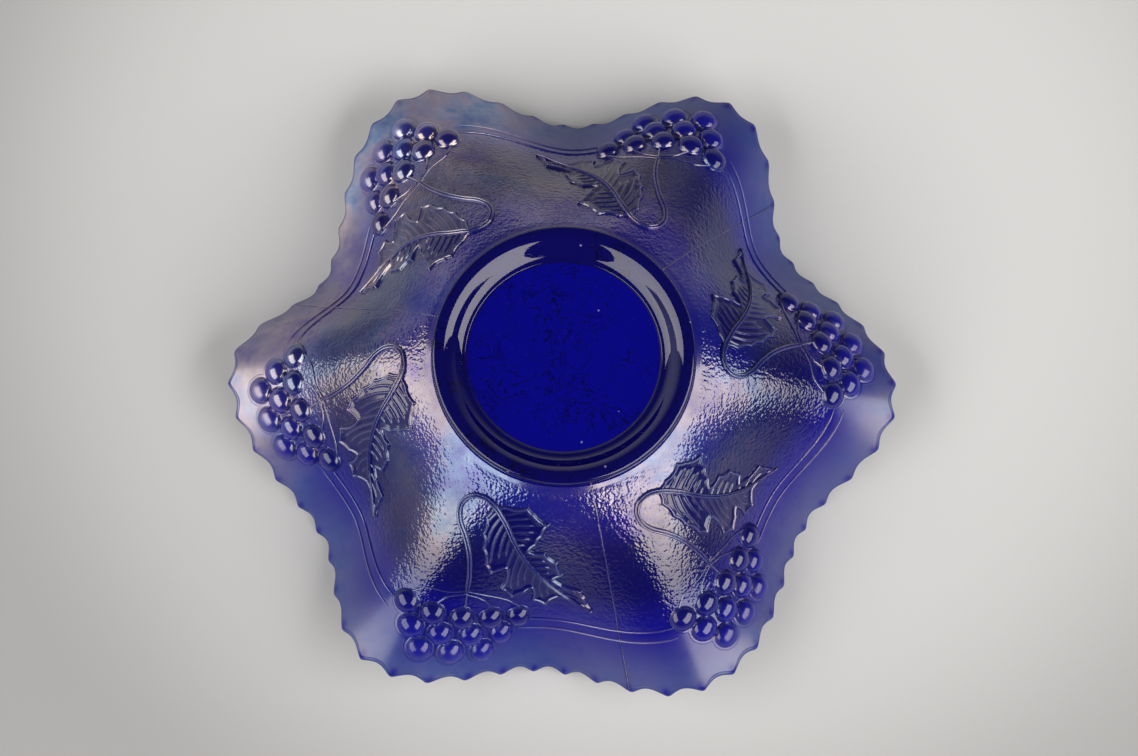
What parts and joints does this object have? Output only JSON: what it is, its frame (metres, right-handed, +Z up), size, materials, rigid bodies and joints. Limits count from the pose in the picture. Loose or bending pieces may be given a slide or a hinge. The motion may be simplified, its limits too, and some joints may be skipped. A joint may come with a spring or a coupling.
{
  "type": "ruffled glass bowl",
  "caption": "Ruffled pressed-glass bowl lying face down on its scalloped rim, with a collar foot and raised grape-and-leaf relief on the outside.",
  "frame": {"origin": "on the bowl's axis, on the plane that the rim rests on", "axes": "+Z up through the foot, which is on top because the bowl lies face down; +X across two opposite lobes; turned half a turn about X it stands on its foot"},
  "size_m": [0.2222, 0.2063, 0.064],
  "materials": {
    "blue_glass": "clear dark cobalt blue glass, glossy",
    "filmed_glass": "dark cobalt blue glass under a thin iridescent pink, gold and silver film"
  },
  "bodies": {
    "root": {"band_line_inner": "filmed_glass", "band_line_outer": "filmed_glass", "base_disc": "blue_glass", "foot_ring": "blue_glass", "grape_cluster_1": "filmed_glass", "grape_cluster_2": "filmed_glass", "grape_cluster_3": "filmed_glass", "grape_cluster_4": "filmed_glass", "grape_cluster_5": "filmed_glass", "grape_cluster_6": "filmed_glass", "leaf_1": "filmed_glass", "leaf_2": "filmed_glass", "leaf_3": "filmed_glass", "leaf_4": "filmed_glass", "leaf_5": "filmed_glass", "leaf_6": "filmed_glass", "mould_seam_1": "filmed_glass", "mould_seam_2": "filmed_glass", "mould_seam_3": "filmed_glass", "scalloped_rim": "filmed_glass", "stem_1": "filmed_glass", "stem_2": "filmed_glass", "stem_3": "filmed_glass", "stem_4": "filmed_glass", "stem_5": "filmed_glass", "stem_6": "filmed_glass", "wall_third_1": "filmed_glass", "wall_third_2": "filmed_glass", "wall_third_3": "filmed_glass"}
  },
  "joints": []
}
